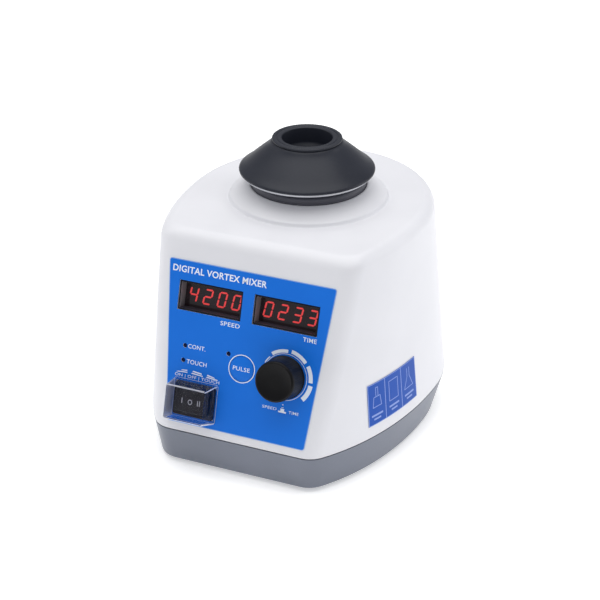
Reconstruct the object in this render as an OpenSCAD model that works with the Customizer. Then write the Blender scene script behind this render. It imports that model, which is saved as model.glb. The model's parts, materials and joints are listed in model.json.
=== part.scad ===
// Vortex mixer: weighted base, leaning-front housing, control panel and an orbiting rubber cup head.
// Millimetres, +Z up, the panel faces -Y, the feet stand on Z = 0.

/* [Housing] */
// Half-width of the body at the parting line
body_half_width = 73.4; // [65:0.1:82]
// Half-width of the body at its top
top_half_width = 64.8; // [58:0.1:72]
// Height of the flat top above the table
top_z = 119; // [112:0.5:124]
// Height of the parting line above the table
part_z = 21.5; // [18:0.5:28]
// Depth from the head's axis to the front edge at the parting line
front_depth = 92.7; // [86:0.1:100]
// Backward lean of the control panel in degrees
panel_lean = 16.74; // [12:0.1:20]
// Wall thickness of the housing
wall = 3; // [2:0.1:4]
// Radius of the rounded top edge
top_round = 6; // [3:0.5:9]

/* [Base] */
// Half-width of the base pan at its bottom
base_half_width = 68.8; // [60:0.1:73]
// Floor thickness of the base pan
base_floor = 3; // [2:0.1:4]
// Height of the rubber feet under the base
foot_h = 2; // [1:0.1:4]
// Radius of the rubber feet
foot_r = 8; // [5:0.1:11]

/* [Head] */
// Radius of the cup's lip
cup_r = 35; // [30:0.5:38]
// Radius of the raised ring on top of the cup
ring_r = 18; // [16:0.1:21]
// Radius of the recess for a tube
mouth_r = 13; // [8:0.1:14]
// rise of the cup rim above the roof
cup_rise = 32.8; // [29:0.1:41]
// Distance from the motor axis to the head's axis
throw = 2; // [1:0.1:2.5]
// Travel of the head when it is pressed
press_travel = 1.5; // [0.5:0.1:2]

/* [Collar] */
// Outer radius of the raised collar
collar_r = 41; // [38:0.5:46]
// Outer radius of the rubber splash ring
splash_r = 30; // [26:0.5:32]

/* [Panel] */
// Width of each display window
window_w = 35; // [30:0.1:36]
// Height of each display window
window_h = 15.3; // [12:0.1:17]
// Radius of the knob at its base
knob_r = 11; // [8:0.1:12]
// Height of the knob above the panel
knob_h = 14; // [10:0.5:18]
// Radius of the encoder shaft
spindle_r = 3; // [2.5:0.1:3.2]
// Radius of the round pulse button
pulse_r = 6.4; // [5:0.1:7]
// Width of the rocker
rocker_w = 17.6; // [14:0.1:18]
// Height of the rocker's face along the panel
rocker_l = 12.2; // [10:0.1:12.6]

/* [Fits] */
// Radial clearance of a turning fit
run_clear = 0.05; // [0.02:0.01:0.09]
// Radial clearance of a part that slides
slide_clear = 0.08; // [0.03:0.01:0.1]
// Gap round a part dropped into a window
gap = 0.35; // [0.3:0.05:0.6]

/* [Hidden] */
$fn = 64;
eps = 0.01;

// outline values: half-width, front reach, back reach and centre of the rounded plan at each level
base_ov = [base_half_width, base_half_width * 1.597, base_half_width * 0.984, -0.5];
part_ov = [body_half_width, body_half_width * 1.608, body_half_width * 0.969, 4];
top_ov = [top_half_width, top_half_width * 1.631, top_half_width * 1.15, -0.9];
lean_t = tan(panel_lean);
base_z = foot_h;
base_front = front_depth * 0.963;
corner_rise = 5.5;
part_gap = 0.6;
shell_z = part_z + part_gap / 2;
pan_z = part_z - part_gap / 2;
roof_in = top_z - wall;

// inlet pad at the back
pad_y = part_ov[3] + part_ov[2] + 0.6;
flange_t = 2.2;
cover_h = 12;
cover_lo = 8;
front_reach = front_depth - cover_lo * sin(panel_lean) + cover_h * cos(panel_lean);
y_shift = (front_reach - (pad_y + flange_t)) / 2;
axle_y = throw;

// panel positions: x across, s up the slope from the parting line, n out of the panel
label_t = 0.3;
label_lo = 4.5;
label_hi = 87.3;
label_bot_w = 37.9;
label_top_w = 45.1;
win_s = 69.6;
win1_x = -20.9;
win2_x = 20.2;
knob_x = 23.5;
knob_s = 39.2;
pulse_x = 0.2;
pulse_s = 38.6;
led_r = 1.1;
led_at = [[-31.8, 44.4], [-32, 36.8], [-7.8, 44.8]];
rock_x = -23.5;
rock_s = 17.4;
board_n = -12;
board_t = 1.6;
board_lo = 29.5;
board_hi = 85;
board_w = 41;
board_face = board_n + board_t;
post_at = [[-37.5, 82], [37.5, 82], [-37.5, 32], [37.5, 32]];
screw_m = 1.25;

// rocker switch
frame_w = 22;
frame_l = 17;
frame_t = 2;
neck_w = 19.5;
neck_l = 13.6;
switch_d = 16;
rocker_top = 5;
rock_axis_n = 0.6;
trunnion_r = 1.2;
rock_tilt = 8;

// head and motor levels, all measured from the roof
cup_top_z = top_z + cup_rise;
cup_low_z = top_z + 15;
plate_t = 1.4;
plate_r = cup_r - 1.4;
plate_z = cup_low_z - plate_t;
hub_r = 12;
splash_top = top_z + 10.6;
splash_in = 16.5;
hole_r = splash_r + 0.3;
pin_r = 4;
bear_r = 9.5;
bear_h = 7;
bear_z = top_z;
hub_low_z = top_z - 1;
ecc_low = top_z - 13;
ecc_top = top_z - 4;
shaft_r = 4;
shaft_low = top_z - 69;
can_low = top_z - 63;
can_top = top_z - 15;
can_r = 31;
plate_low = top_z - 67;
mplate_t = 4;
mb_r = 9.5;
mb_h = 6;
post_ring = 46;
post_r = 4.2;
pin_post_r = 3;
post_base = 11.5;
shoulder_z = 40;
post_ang = [30, 150, 270];
ballast_z = base_z + base_floor;
ballast_t = post_base - ballast_z;
ballast_r = 52;
screw_at = [[54, -45], [-54, -45], [55, 20], [-55, 20]];
foot_at = [[42, -60], [-42, -60], [40, 40], [-40, 40]];
boss_r = 4.6;
boss_top = 40;
rib_l = body_half_width - screw_at[0][0];
base_screw_r = 2;
inlet_z = 46;
inlet_w = 27;
inlet_l = 19.6;
socket_w = 24;
socket_l = 16.4;
inlet_depth = 21;
ear_x = 20;
ear_r = 1.75;

function mix(p, q, k) = p + (q - p) * k;
function front_at(z) = -front_depth + (z - part_z) * lean_t;
function half_ring(o, yf, rise) =
  let (t2 = asin((yf + rise - o[3]) / o[1]))
  let (q = [o[0] * cos(t2), o[3] + o[1] * sin(t2)])
  let (d = [-o[0] * sin(t2), o[1] * cos(t2)])
  let (c = q - d * ((q[1] - yf) / d[1]))
  let (p = [c[0] - norm(q - c), yf])
  concat(
    [for (i = [0:6]) p * pow(1 - i / 6, 2) + c * 2 * (i / 6) * (1 - i / 6) + q * pow(i / 6, 2)],
    [for (i = [1:9]) [o[0] * cos(t2 * (1 - i / 9)), o[3] + o[1] * sin(t2 * (1 - i / 9))]],
    [for (i = [1:14]) [o[0] * cos(90 * i / 14), o[3] + o[2] * sin(90 * i / 14)]]);
function full_ring(h) = concat(h, [for (i = [len(h) - 2:-1:0]) [-h[i][0], h[i][1]]]);
function inset_ov(o, e) = [o[0] - e, o[1] - e, o[2] - e, o[3]];
function shell_ov(z) = let (k = (z - part_z) / (top_z - part_z)) [for (i = [0:3]) mix(part_ov[i], top_ov[i], k)];
function pan_ov(z) = let (k = (z - base_z) / (part_z - base_z)) [for (i = [0:3]) mix(base_ov[i], part_ov[i], k)];
function at_z(r, z) = [for (p = r) [p[0], p[1], z]];
function shell_ring(z, e) = at_z(full_ring(half_ring(inset_ov(shell_ov(z), e), front_at(z) + e, corner_rise)), z);
function pan_front(z) = mix(-base_front, -front_depth, (z - base_z) / (part_z - base_z));
function pan_ring(z, e) = at_z(full_ring(half_ring(inset_ov(pan_ov(z), e), pan_front(z) + e, corner_rise)), z);

// a closed skin through a stack of rings with the same number of points
module loft(rings) {
  n = len(rings[0]);
  m = len(rings);
  pts = [for (r = rings) for (p = r) p];
  sides = [for (j = [0:m - 2]) for (i = [0:n - 1]) let (a = j * n + i, b = j * n + (i + 1) % n)
    for (f = [[a, a + n, b + n], [a, b + n, b]]) f];
  low = [[for (i = [0:n - 1]) i]];
  high = [[for (i = [n - 1:-1:0]) (m - 1) * n + i]];
  polyhedron(points = pts, faces = concat(low, sides, high), convexity = 6);
}

module placed() {
  translate([0, y_shift, 0]) children();
}

// local x across, y up the slope, z out of the panel
module on_panel() {
  placed() translate([0, -front_depth, part_z]) rotate([90 - panel_lean, 0, 0]) children();
}

module slab(w, l, h, r) {
  linear_extrude(h) hull() {
    for (x = [-1, 1]) for (y = [-1, 1]) translate([x * (w / 2 - r), y * (l / 2 - r)]) circle(r, $fn = 32);
  }
}

module window_cuts(e, low, high) {
  for (x = [win1_x, win2_x])
    translate([x - window_w / 2 - e, win_s - window_h / 2 - e, low])
      cube([window_w + 2 * e, window_h + 2 * e, high - low]);
}

module panel_cuts(low, high) {
  translate([knob_x, knob_s, low]) cylinder(r = 3.6, h = high - low);
  translate([pulse_x, pulse_s, low]) cylinder(r = pulse_r + gap, h = high - low);
  for (p = led_at) translate([p[0], p[1], low]) cylinder(r = led_r + 0.1, h = high - low);
  translate([rock_x - neck_w / 2 - 0.2, rock_s - neck_l / 2 - 0.2, low])
    cube([neck_w + 0.4, neck_l + 0.4, high - low]);
}

module housing_shell() color([0.90, 0.90, 0.92]) {
  placed() difference() {
    union() {
      loft([
        shell_ring(shell_z, 0), shell_ring(70, 0), shell_ring(top_z - top_round, 0),
        for (a = [15:15:75]) shell_ring(top_z - top_round + top_round * sin(a), top_round * (1 - cos(a))),
        shell_ring(top_z, top_round)]);
      translate([0, axle_y, 0]) rotate_extrude() polygon([[hole_r - 1, top_z - 1], [collar_r, top_z - 1],
        [collar_r, top_z + 0.9], [collar_r - 0.8, top_z + 1.7], [hole_r + 1.2, top_z + 7.2], [hole_r, top_z + 7.5],
        [hole_r - 1, top_z + 7.5]]);
      translate([-26, pad_y - 12, inlet_z - 15]) cube([52, 12, 30]);
    }
    difference() {
      loft([shell_ring(shell_z - 1, wall), shell_ring(70, wall), shell_ring(top_z - top_round, wall),
        shell_ring(roof_in - 1, wall + 1.2), shell_ring(roof_in, wall + 4)]);
      for (p = screw_at) {
        translate([p[0], p[1], shell_z]) cylinder(r = boss_r, h = boss_top - shell_z);
        translate([p[0] > 0 ? p[0] : p[0] - rib_l, p[1] - 1.5, shell_z]) cube([rib_l, 3, boss_top - shell_z]);
      }
    }
    for (p = screw_at) translate([p[0], p[1], shell_z - 1]) cylinder(r = base_screw_r - 0.2, h = 14);
    translate([0, axle_y, roof_in - 1]) cylinder(r = hole_r, h = 20);
    translate([0, -front_depth, part_z]) rotate([90 - panel_lean, 0, 0]) {
      window_cuts(0, -9, 2);
      panel_cuts(-9, 2);
    }
    translate([-inlet_w / 2 - 0.2, pad_y - 16, inlet_z - inlet_l / 2 - 0.2])
      cube([inlet_w + 0.4, 20, inlet_l + 0.4]);
    for (x = [-ear_x, ear_x])
      translate([x, pad_y + 1, inlet_z]) rotate([90, 0, 0]) cylinder(r = ear_r - 0.3, h = 10);
    translate([-26 - eps, pad_y - 12 - eps, inlet_z - 16]) cube([10, 6, 32]);
    translate([16 + eps, pad_y - 12 - eps, inlet_z - 16]) cube([10, 6, 32]);
  }
}

module base_pan() color([0.42, 0.44, 0.48]) {
  placed() difference() {
    union() {
      difference() {
        loft([pan_ring(base_z, 1), pan_ring(base_z + 1, 0), pan_ring(pan_z, 0)]);
        loft([pan_ring(base_z + base_floor, wall), pan_ring(pan_z + 1, wall)]);
      }
      for (p = screw_at) translate([p[0], p[1], base_z + 1]) cylinder(r = boss_r, h = pan_z - base_z - 1);
    }
    for (p = screw_at) {
      translate([p[0], p[1], base_z - 1]) cylinder(r = base_screw_r + 0.25, h = 30);
      translate([p[0], p[1], base_z - 1]) cylinder(r = 4.2, h = 5);
    }
    for (p = foot_at) translate([p[0], p[1], base_z - 1]) cylinder(r = 3.1, h = 10);
    for (a = post_ang) translate([post_ring * cos(a), axle_y + post_ring * sin(a), base_z - 1])
      union() {
        cylinder(r = 2.25, h = 10);
        cylinder(r = 4, h = 3.5);
      }
  }
}

module front_label() color([0.10, 0.38, 0.80]) {
  on_panel() difference() {
    linear_extrude(label_t) hull() {
      for (x = [-1, 1]) {
        translate([x * (label_bot_w - 1.5), label_lo + 1.4]) circle(1.4, $fn = 32);
        translate([x * (label_top_w - 1.5), label_hi - 1.4]) circle(1.4, $fn = 32);
      }
    }
    window_cuts(0, -1, 1);
    panel_cuts(-1, 1);
    translate([rock_x - frame_w / 2 - 0.1, rock_s - frame_l / 2 - 0.1, -1]) cube([frame_w + 0.2, frame_l + 0.2, 2]);
  }
}

// the sticker follows the curved right side
label_ta = -33.9;
label_tb = -12.6;
label_za = 28;
label_zb = 51;
function side_pt(t, z, e) = let (o = shell_ov(z))
  let (n = [cos(t) / o[0], sin(t) / o[1]])
  let (u = n / norm(n))
  [o[0] * cos(t) + u[0] * e, o[3] + o[1] * sin(t) + u[1] * e, z];
module side_label() color([0.12, 0.32, 0.70]) {
  m = 12;
  ring = function (t) [side_pt(t, label_za, 0.05), side_pt(t, label_za, 0.3), side_pt(t, label_zb, 0.3),
    side_pt(t, label_zb, 0.05)];
  placed() loft([for (i = [0:m]) ring(mix(label_tb, label_ta, i / m))]);
}

module display(x) {
  w = window_w - 2 * gap;
  l = window_h - 2 * gap;
  on_panel() translate([x, win_s, 0]) difference() {
    translate([-w / 2, -l / 2, board_face]) cube([w, l, -0.2 - board_face]);
    translate([-w / 2 + 0.7, -l / 2 + 0.7, digit_n]) cube([w - 1.4, l - 1.4, 10]);
  }
}

module speed_display() color([0.20, 0.20, 0.22]) display(win1_x);
module time_display() color([0.20, 0.20, 0.22]) display(win2_x);

// seven-segment strokes: [x, y, turned] for each of a b c d e f g
digit_n = -6;
digit_pitch = (window_w - 3.4) / 4;
seg_h = 7.3;
seg_w = 3.9;
seg_t = 0.92;
seg_slant = tan(9);
segs = [[0, 1, 0], [1, 0.5, 1], [1, -0.5, 1], [0, -1, 0], [-1, -0.5, 1], [-1, 0.5, 1], [0, 0, 0]];
lit = [[1, 1, 1, 1, 1, 1, 0], [0, 1, 1, 0, 0, 0, 0], [1, 1, 0, 1, 1, 0, 1], [1, 1, 1, 1, 0, 0, 1],
  [0, 1, 1, 0, 0, 1, 1]];
function slant(p) = [p[0] + p[1] * seg_slant, p[1]];
function stroke(c, len, turned) = let (a = len / 2 - 0.12, b = seg_t / 2)
  [for (q = [[-a, 0], [-a + b, -b], [a - b, -b], [a, 0], [a - b, b], [-a + b, b]])
    slant(c + (turned == 1 ? [q[1], q[0]] : q))];
module digits(x, shown) {
  for (k = [0:3]) for (g = [0:6]) if (lit[shown[k]][g] == 1)
    on_panel() translate([x + (k - 1.5) * digit_pitch, win_s, digit_n + 0.02])
      linear_extrude(0.2) polygon(stroke([segs[g][0] * seg_w / 2, segs[g][1] * seg_h / 2],
        segs[g][2] == 1 ? seg_h / 2 : seg_w, segs[g][2]));
}
module speed_digits() color([0.95, 0.12, 0.12]) digits(win1_x, [4, 2, 0, 0]);
module time_digits() color([0.95, 0.12, 0.12]) digits(win2_x, [0, 2, 3, 3]);

module indicator_leds() color([0.10, 0.08, 0.16]) {
  for (p = led_at) on_panel() translate([p[0], p[1], board_face]) {
    cylinder(r = led_r, h = -0.2 - board_face);
    cylinder(r = led_r + 0.6, h = 1);
  }
}

module control_board() color([0.10, 0.40, 0.22]) {
  on_panel() difference() {
    translate([-board_w, board_lo, board_n]) cube([2 * board_w, board_hi - board_lo, board_t]);
    for (p = post_at) translate([p[0], p[1], board_n - 1]) cylinder(r = screw_m + 0.25, h = 4);
  }
}

module board_standoffs() color([0.82, 0.82, 0.80]) {
  for (p = post_at) on_panel() translate([p[0], p[1], board_face]) difference() {
    cylinder(r = 2.3, h = -wall - board_face - 0.1);
    translate([0, 0, -1]) cylinder(r = screw_m - 0.1, h = 6);
  }
}

module board_screws() color([0.65, 0.66, 0.68]) {
  for (p = post_at) on_panel() translate([p[0], p[1], board_n]) {
    translate([0, 0, -1.5]) cylinder(r = 2.2, h = 1.5);
    translate([0, 0, -eps]) cylinder(r = screw_m - 0.15, h = 5.5);
  }
}

module encoder_body() color([0.25, 0.25, 0.28]) {
  on_panel() translate([knob_x, knob_s, 0]) difference() {
    union() {
      translate([-6.2, -6.2, board_face]) cube([12.4, 12.4, -wall - 0.1 - board_face]);
      translate([0, 0, -wall - 0.2]) cylinder(r = 3.5, h = wall + 5.2);
    }
    translate([0, 0, board_face + 4]) cylinder(r = spindle_r + 0.45, h = 20);
    translate([0, 0, board_face + 1]) cylinder(r = 5, h = 5);
  }
}

module encoder_rotor() color([0.85, 0.80, 0.55]) {
  on_panel() translate([knob_x, knob_s, board_face + 1.4]) difference() {
    cylinder(r = 5 - run_clear, h = 4.1);
    translate([0, 0, -1]) cylinder(r = spindle_r + slide_clear, h = 8);
  }
}

module encoder_nut() color([0.72, 0.72, 0.74]) {
  on_panel() translate([knob_x, knob_s, label_t + 0.02]) difference() {
    union() {
      cylinder(r = 5.6, h = 0.5);
      cylinder(r = 4.9, h = 2.4, $fn = 6);
    }
    translate([0, 0, -1]) cylinder(r = 3.55, h = 6);
  }
}

module knob_spindle() color([0.70, 0.70, 0.72]) {
  on_panel() translate([knob_x, knob_s, board_face + 2.1]) cylinder(r = spindle_r, h = knob_h - 2.1 - board_face - 2.5);
}

module knob() color([0.07, 0.07, 0.08]) {
  on_panel() translate([knob_x, knob_s, 0]) rotate_extrude() polygon([
    [spindle_r, 6.5], [6.6, 6.5], [6.6, 1.2], [knob_r, 1.2], [knob_r, 2.1], [knob_r - 0.35, 2.3],
    [knob_r - 0.8, knob_h - 0.8], [knob_r - 1.6, knob_h], [0, knob_h], [0, knob_h - 2.5],
    [spindle_r, knob_h - 2.5]]);
}

module pulse_button() color([0.12, 0.42, 0.84]) {
  on_panel() translate([pulse_x, pulse_s, 0]) {
    translate([0, 0, -wall + 0.4]) cylinder(r = pulse_r, h = wall + label_t - 0.2);
    translate([0, 0, -wall - 1.6]) cylinder(r = 1.6, h = 3);
  }
}

module pulse_switch() color([0.15, 0.15, 0.16]) {
  on_panel() translate([pulse_x, pulse_s, board_face]) {
    translate([-3, -3, 0]) cube([6, 6, 3.4]);
    cylinder(r = 1.5, h = -wall - 1.6 - 0.6 - board_face);
  }
}

module rocker_frame() color([0.06, 0.06, 0.07]) {
  on_panel() translate([rock_x, rock_s, 0]) difference() {
    union() {
      translate([0, 0, 0.02]) slab(frame_w, frame_l, frame_t, 1.5);
      translate([-neck_w / 2, -neck_l / 2, -switch_d]) cube([neck_w, neck_l, switch_d + 1]);
    }
    translate([-rocker_w / 2 - gap, -rocker_l / 2 - 0.1, -7]) cube([rocker_w + 2 * gap, rocker_l + 0.2, 20]);
    translate([0, -neck_l / 2 - 1, rock_axis_n]) rotate([-90, 0, 0])
      cylinder(r = trunnion_r + run_clear, h = neck_l + 2);
  }
}

module rocker() color([0.08, 0.08, 0.09]) {
  on_panel() translate([rock_x, rock_s, 0]) {
    difference() {
      translate([-rocker_w / 2, -rocker_l / 2 + gap, -1.2]) cube([rocker_w, rocker_l - 2 * gap, rocker_top + 1.2]);
      for (m = [-1, 1]) translate([m * 17.8, 0, 35.4]) rotate([90, 0, 0])
        cylinder(r = 34.6, h = 30, center = true, $fn = 128);
      for (m = [-1, 1]) translate([m * rocker_w / 2, 0, -1.2]) rotate([0, m * 24, 0])
        translate([-3, -20, -6]) cube([6, 40, 6]);
    }
    translate([0, neck_l / 2 - 0.1, rock_axis_n]) rotate([90, 0, 0]) cylinder(r = trunnion_r, h = neck_l - 0.2);
  }
}

module switch_cover() color([0.85, 0.88, 0.92, 0.35]) {
  w = 24.6;
  l = 20.6;
  t = 1;
  out = [for (q = [[0, 0], [cover_h - 0.8, 1.3], [cover_h, 2.2]]) q];
  on_panel() translate([rock_x, rock_s, label_t + 0.02]) difference() {
    loft([for (q = out) at_z(box_ring(w - 2 * q[1], l - 2 * q[1], 2.4), q[0])]);
    loft([for (q = [[-1, t - 0.1], [cover_h - t - 0.6, t + 1.3], [cover_h - t, t + 1.9]])
      at_z(box_ring(w - 2 * q[1], l - 2 * q[1], 1.5), q[0])]);
  }
}
function box_ring(w, l, r) = [for (c = [[1, 1, 0], [-1, 1, 90], [-1, -1, 180], [1, -1, 270]])
  for (a = [0:18:90]) [c[0] * (w / 2 - r) + r * cos(c[2] + a), c[1] * (l / 2 - r) + r * sin(c[2] + a)]];

module cup() color([0.16, 0.16, 0.19]) {
  placed() rotate_extrude($fn = 96) polygon([
    [0, cup_low_z], [cup_r - 0.9, cup_low_z], [cup_r, cup_low_z + 0.6], [cup_r, cup_low_z + 1.2],
    [cup_r - 1.1, cup_low_z + 2.2], [ring_r + 11.8, cup_top_z - 12.3], [ring_r + 7.8, cup_top_z - 8.8],
    [ring_r + 3, cup_top_z - 4.8], [ring_r + 1, cup_top_z - 2.7], [ring_r + 0.2, cup_top_z - 1.7],
    [ring_r - 0.7, cup_top_z - 1.5], [ring_r - 0.7, cup_top_z - 1.1], [ring_r, cup_top_z - 0.9],
    [ring_r, cup_top_z - 0.4], [ring_r - 0.4, cup_top_z], [mouth_r + 3.2, cup_top_z],
    [mouth_r + 3, cup_top_z - 0.35], [mouth_r + 2.4, cup_top_z - 0.35], [mouth_r + 2.2, cup_top_z],
    [mouth_r + 0.5, cup_top_z], [mouth_r, cup_top_z - 0.5], [mouth_r, cup_top_z - 8.5],
    [mouth_r - 5, cup_low_z + 4], [0, cup_low_z + 3]]);
}

module head_plate() color([0.78, 0.79, 0.80]) {
  placed() translate([0, 0, plate_z]) cylinder(r = plate_r, h = plate_t, $fn = 96);
}

module head_hub() color([0.30, 0.30, 0.32]) {
  placed() difference() {
    translate([0, 0, hub_low_z]) cylinder(r = hub_r, h = plate_z - hub_low_z);
    translate([0, 0, hub_low_z - 1]) cylinder(r = bear_r, h = bear_z + bear_h - hub_low_z + 1);
    translate([0, 0, hub_low_z - 1]) cylinder(r = 6.5, h = 12);
  }
}

module head_bearing() color([0.74, 0.75, 0.77]) {
  placed() translate([0, 0, bear_z]) difference() {
    cylinder(r = bear_r, h = bear_h);
    translate([0, 0, -1]) cylinder(r = pin_r + run_clear, h = bear_h + 2);
  }
}

module eccentric_hub() color([0.60, 0.61, 0.63]) {
  placed() {
    difference() {
      translate([0, axle_y, ecc_low]) cylinder(r = 9, h = ecc_top - ecc_low);
      translate([0, axle_y, ecc_low - 1]) cylinder(r = shaft_r, h = ecc_top - ecc_low - 1);
    }
    translate([0, 0, ecc_top - eps]) cylinder(r = pin_r, h = bear_z + bear_h - ecc_top);
    translate([0, 0, ecc_top - eps]) cylinder(r = pin_r + 1.4, h = bear_z - ecc_top - 0.4);
  }
}

module counterweight() color([0.55, 0.50, 0.40]) {
  placed() translate([0, axle_y, ecc_low + 1]) difference() {
    cylinder(r = 22, h = 7);
    translate([0, 0, -1]) cylinder(r = 9, h = 10);
    translate([-30, -60, -1]) cube([60, 57, 10]);
  }
}

module splash_ring() color([0.13, 0.13, 0.15]) {
  placed() translate([0, axle_y, 0]) rotate_extrude($fn = 96) polygon([
    [splash_r, roof_in - 0.3], [splash_r + 3, roof_in - 0.3], [splash_r + 3, roof_in - 2],
    [splash_r - 2.2, roof_in - 2], [splash_r - 2.2, splash_top - 2], [splash_in, splash_top - 2],
    [splash_in, splash_top - 0.6], [splash_in + 0.6, splash_top], [splash_r - 1, splash_top],
    [splash_r, splash_top - 1]]);
}

module motor_can() color([0.58, 0.59, 0.61]) {
  placed() translate([0, axle_y, 0]) difference() {
    rotate_extrude() polygon([[0, can_low + 0.02], [can_r, can_low + 0.02], [can_r, can_top - 3],
      [can_r - 3, can_top], [0, can_top]]);
    translate([0, 0, can_low - 1]) cylinder(r = mb_r, h = mb_h + 1.02);
    translate([0, 0, can_top - mb_h]) cylinder(r = mb_r, h = mb_h + 1);
    translate([0, 0, can_low - 1]) cylinder(r = 7, h = can_top - can_low + 2);
  }
}

module motor_bearings() color([0.76, 0.77, 0.79]) {
  placed() for (z = [can_low + 0.02, can_top - mb_h]) translate([0, axle_y, z]) difference() {
    cylinder(r = mb_r, h = mb_h);
    translate([0, 0, -1]) cylinder(r = shaft_r + run_clear, h = mb_h + 2);
  }
}

module motor_shaft() color([0.70, 0.71, 0.73]) {
  placed() translate([0, axle_y, shaft_low + 4]) cylinder(r = shaft_r, h = ecc_top - 2 - shaft_low - 4);
}

module motor_plate() color([0.66, 0.67, 0.69]) {
  placed() translate([0, axle_y, plate_low]) difference() {
    cylinder(r = post_ring + 6.5, h = mplate_t);
    translate([-80, can_r + 2, -1]) cube([160, 40, mplate_t + 2]);
    translate([0, 0, -1]) cylinder(r = 6, h = mplate_t + 2);
    for (a = post_ang) translate([post_ring * cos(a), post_ring * sin(a), -1])
      cylinder(r = pin_post_r + slide_clear, h = mplate_t + 2);
  }
}

module guide_posts() color([0.72, 0.72, 0.74]) {
  for (a = post_ang) placed() translate([post_ring * cos(a), axle_y + post_ring * sin(a), 0]) difference() {
    union() {
      translate([0, 0, post_base]) cylinder(r = post_r + 1.6, h = shoulder_z - post_base);
      translate([0, 0, shoulder_z - eps]) cylinder(r = pin_post_r, h = plate_low + mplate_t + 0.4 - shoulder_z);
    }
    translate([0, 0, plate_low - 6]) cylinder(r = 1.3, h = 20);
    translate([0, 0, post_base - 1]) cylinder(r = 1.8, h = 10);
  }
}

module post_screws() color([0.55, 0.56, 0.58]) {
  for (a = post_ang) placed() translate([post_ring * cos(a), axle_y + post_ring * sin(a), 0]) {
    translate([0, 0, plate_low + mplate_t + 0.42]) cylinder(r = 5, h = 1.8);
    translate([0, 0, plate_low - 4]) cylinder(r = 1.25, h = mplate_t + 5);
    translate([0, 0, base_z + 0.3]) cylinder(r = 3.6, h = 2);
    translate([0, 0, base_z + 1]) cylinder(r = 1.75, h = 16);
  }
}

module press_springs() color([0.62, 0.63, 0.65]) {
  for (a = post_ang) placed() translate([post_ring * cos(a), axle_y + post_ring * sin(a), shoulder_z + 0.05])
    difference() {
      cylinder(r = 5.2, h = plate_low - shoulder_z - 0.1);
      translate([0, 0, -1]) cylinder(r = 4.2, h = 20);
      for (z = [2:2.6:9]) translate([0, 0, z]) difference() {
        cylinder(r = 8, h = 1.2);
        translate([-1, -9, -1]) cube([2, 18, 4]);
      }
    }
}

module touch_switch() color([0.14, 0.14, 0.15]) {
  placed() translate([-22, axle_y - 34, 0]) {
    translate([-10, -3.2, ballast_z + ballast_t + 22]) cube([20, 6.4, 12]);
    translate([-4, 0, ballast_z + ballast_t + 33]) cylinder(r = 1.4, h = plate_low - press_travel - 0.3 - 33 - post_base);
    translate([-10, -3.2, post_base]) cube([20, 2, 23]);
    translate([-10, -3.2, post_base]) cube([20, 12, 1.5]);
  }
}

module ballast_plate() color([0.30, 0.31, 0.33]) {
  placed() difference() {
    translate([0, axle_y, ballast_z]) cylinder(r = ballast_r, h = ballast_t, $fn = 96);
    for (a = post_ang) translate([post_ring * cos(a), axle_y + post_ring * sin(a), 0]) cylinder(r = 2.25, h = 30);
    for (p = foot_at) translate([p[0], p[1], 0]) cylinder(r = 5.5, h = 30);
  }
}

module rubber_feet() color([0.10, 0.10, 0.11]) {
  for (p = foot_at) placed() translate([p[0], p[1], 0]) rotate_extrude() polygon([
    [0, 0], [foot_r - 0.6, 0], [foot_r, 0.6], [foot_r, base_z - 0.02], [3, base_z - 0.02],
    [3, ballast_z + 0.1], [4.2, ballast_z + 0.1], [2.4, ballast_z + 3], [0, ballast_z + 3]]);
}

module base_screws() color([0.60, 0.61, 0.63]) {
  for (p = screw_at) placed() translate([p[0], p[1], 0]) {
    translate([0, 0, base_z + 1.2]) cylinder(r = 3.8, h = 2.7);
    translate([0, 0, base_z + 3]) cylinder(r = base_screw_r - 0.25, h = shell_z + 11 - base_z - 3);
  }
}

module power_inlet() color([0.09, 0.09, 0.10]) {
  placed() translate([0, pad_y, inlet_z]) difference() {
    union() {
      rotate([-90, 0, 0]) slab(50, 23, flange_t, 2.5);
      translate([-inlet_w / 2, -inlet_depth, -inlet_l / 2]) cube([inlet_w, inlet_depth + 0.5, inlet_l]);
    }
    translate([-socket_w / 2, -16.5, -socket_l / 2]) cube([socket_w, 30, socket_l]);
    for (x = [-ear_x, ear_x]) translate([x, 10, 0]) rotate([90, 0, 0]) cylinder(r = ear_r, h = 20);
    for (x = [-ear_x, ear_x]) translate([x, flange_t + 1, 0]) rotate([90, 0, 0]) cylinder(r = 3.2, h = 2.2);
  }
}

module inlet_pins() color([0.80, 0.78, 0.70]) {
  for (q = [[-7, -2], [7, -2], [0, 2]]) placed()
    translate([q[0] - 1, pad_y - inlet_depth - 5, inlet_z + q[1] - 2]) cube([2, inlet_depth + 2.5, 4]);
}

module inlet_screws() color([0.65, 0.66, 0.68]) {
  for (x = [-ear_x, ear_x]) placed() translate([x, pad_y + flange_t, inlet_z]) rotate([90, 0, 0]) {
    cylinder(r = 3, h = 1.1);
    translate([0, 0, 1]) cylinder(r = ear_r - 0.35, h = 9);
  }
}

module power_board() color([0.12, 0.42, 0.25]) {
  placed() difference() {
    translate([-32, 38, post_base + 3]) cube([64, 26.6 - wall, 1.6]);
    for (x = [-29, 29]) translate([x, 41, post_base]) cylinder(r = 1.6, h = 8);
  }
  placed() for (x = [-29, 29]) translate([x, 41, post_base]) cylinder(r = 2.8, h = 2.98);
}

module transformer() color([0.85, 0.72, 0.25]) {
  placed() translate([-26, 39.5, post_base + 4.62]) {
    cube([28, 21, 12]);
    translate([4, 3, 0]) cube([20, 15, 17]);
  }
}

module power_capacitor() color([0.10, 0.12, 0.30]) {
  placed() translate([18, 51, post_base + 4.62]) cylinder(r = 6.2, h = 14);
}

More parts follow.
